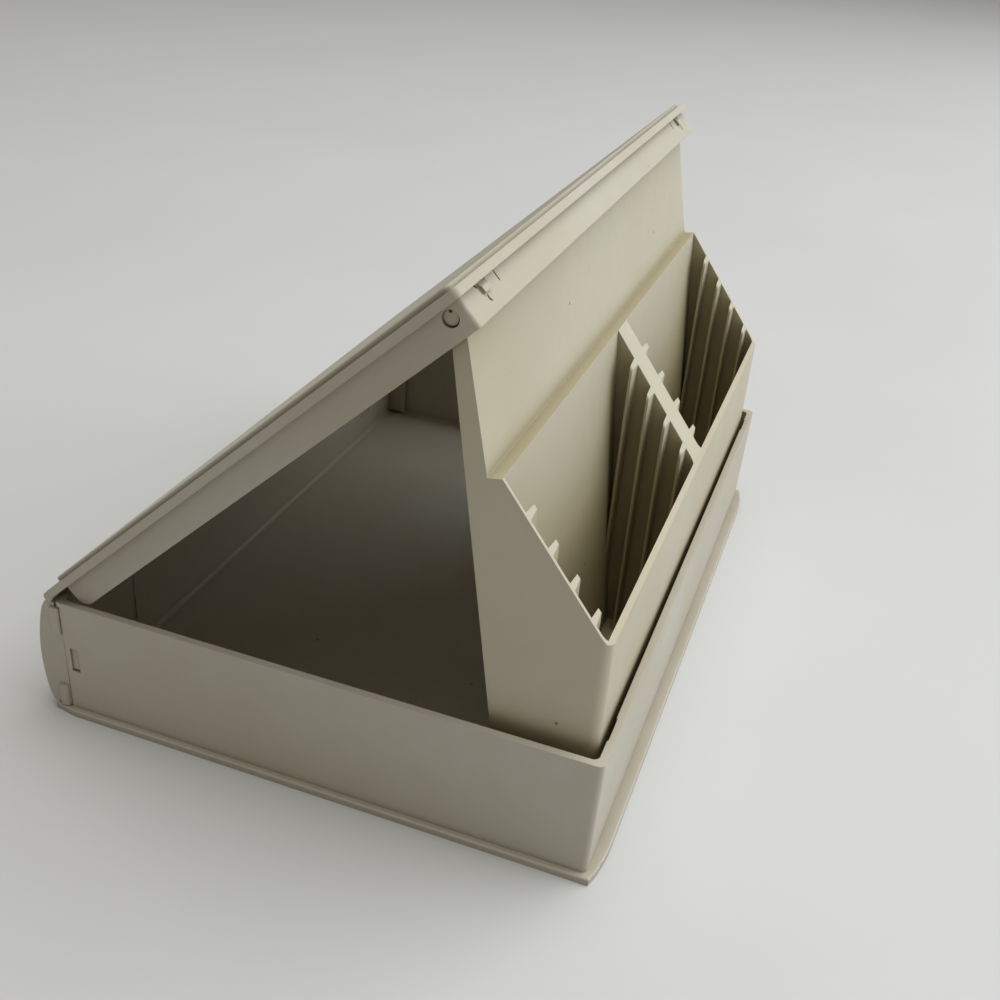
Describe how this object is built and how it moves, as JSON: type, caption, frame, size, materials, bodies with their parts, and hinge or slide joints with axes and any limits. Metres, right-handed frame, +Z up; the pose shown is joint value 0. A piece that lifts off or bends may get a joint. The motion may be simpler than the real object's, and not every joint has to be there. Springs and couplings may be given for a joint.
{
  "type": "floppy disk case",
  "caption": "Book-style floppy disk case: a hinged lid held open by a two-bay disk bin that hangs from it over a shallow tray.",
  "frame": {"origin": "bottom centre of the bounding box, on the surface that the case stands on", "axes": "+Z up, -Y towards the open front where the bin stands, X along the hinge"},
  "size_m": [0.2144, 0.1594, 0.1436],
  "materials": {
    "body_plastic": "fine satin moulded surface",
    "lid_plastic": "fine satin moulded surface",
    "bin_plastic": "smooth satin, slightly yellowed"
  },
  "bodies": {
    "base": {"base_board": "body_plastic", "base_tray": "body_plastic", "spine_cover": "body_plastic"},
    "lid": {"lid_frame": "lid_plastic", "lid_panel": "lid_plastic"},
    "bin": {"disk_bin": "bin_plastic"}
  },
  "joints": [
    {"name": "lid_hinge", "type": "hinge", "parent": "base", "child": "lid", "pos_m": [0, 0.0746, 0.03765], "axis": [-1, 0, 0], "range_deg": [0, 46]},
    {"name": "bin_pivot", "type": "hinge", "parent": "lid", "child": "bin", "pos_m": [0, -0.03186, 0.13615], "axis": [-1, 0, 0], "range_deg": [-55.4, 0]}
  ],
  "couplings": [
    {"joint": "bin_pivot", "follows": "lid_hinge", "ratio": -1.204}
  ]
}
